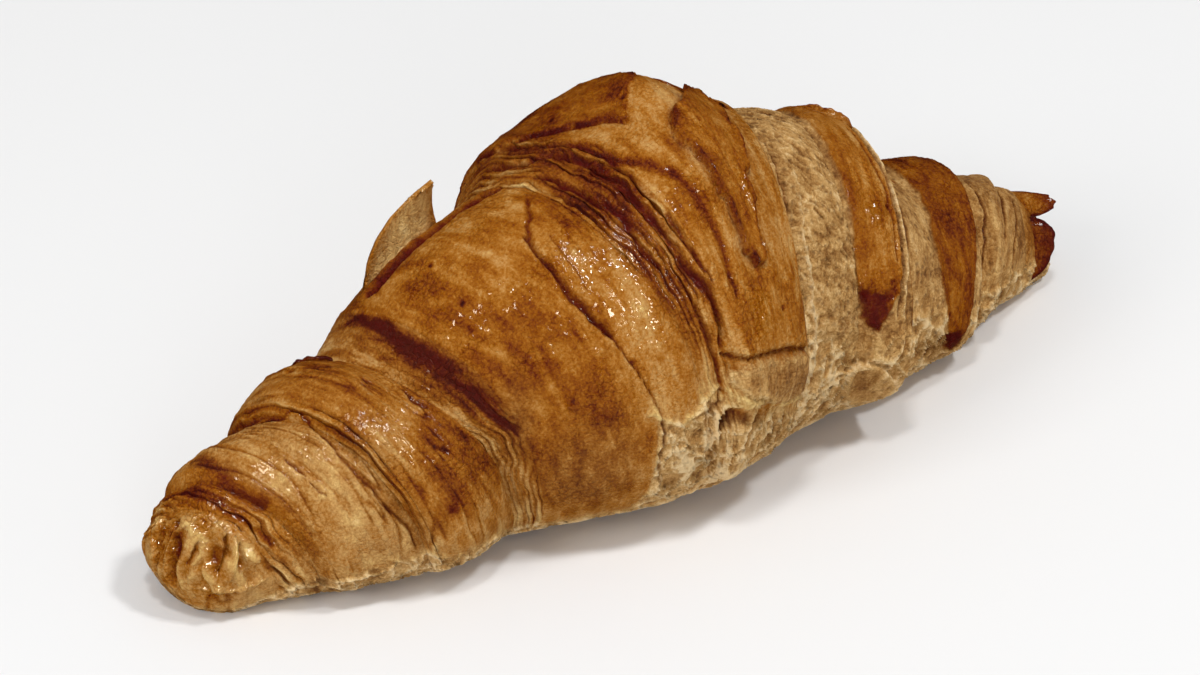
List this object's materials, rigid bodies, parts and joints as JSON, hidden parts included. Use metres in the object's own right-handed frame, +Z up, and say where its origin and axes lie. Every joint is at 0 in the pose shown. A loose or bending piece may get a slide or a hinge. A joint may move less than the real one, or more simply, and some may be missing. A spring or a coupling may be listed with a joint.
{
  "type": "mini butter croissant",
  "caption": "Small straight butter croissant, rolled and baked, with stepped wraps that taper to both ends, layered lips and curled skin flakes.",
  "frame": {"origin": "centre of the croissant's footprint, on the surface it rests on", "axes": "+X along the roll towards its slim far end, -Y the flank with the rolled-down end of the outermost wrap, +Z up"},
  "size_m": [0.1002, 0.0384, 0.0364],
  "materials": {
    "crust": null
  },
  "bodies": {
    "root": {"croissant": "crust"}
  },
  "joints": []
}
